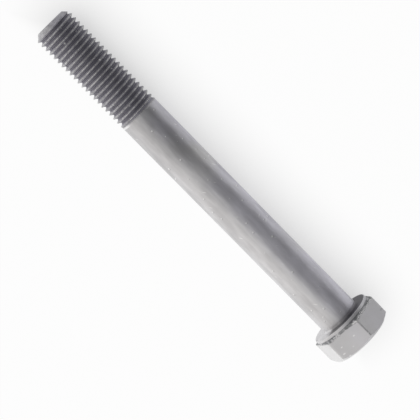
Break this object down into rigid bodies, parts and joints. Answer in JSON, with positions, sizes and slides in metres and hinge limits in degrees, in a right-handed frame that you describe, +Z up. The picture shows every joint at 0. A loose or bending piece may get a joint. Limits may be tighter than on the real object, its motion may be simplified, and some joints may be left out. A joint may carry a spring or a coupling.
{
  "type": "partly threaded hexagon head bolt",
  "caption": "Long steel hexagon head bolt with a washer face, a plain shank and a thread at its tip, for clamping a manifold.",
  "frame": {"origin": "on the surface that the bolt lies on, under the middle of its length", "axes": "+X from the head towards the threaded tip, +Z up; the bolt's axis dips 1.6 degrees below +X, because it rests on a flat of its head and its thread"},
  "size_m": [0.1604, 0.0276, 0.0242],
  "materials": {
    "steel": "satin grey forged and rolled steel, darker in the thread"
  },
  "bodies": {
    "root": {"bolt": "steel"}
  },
  "joints": []
}
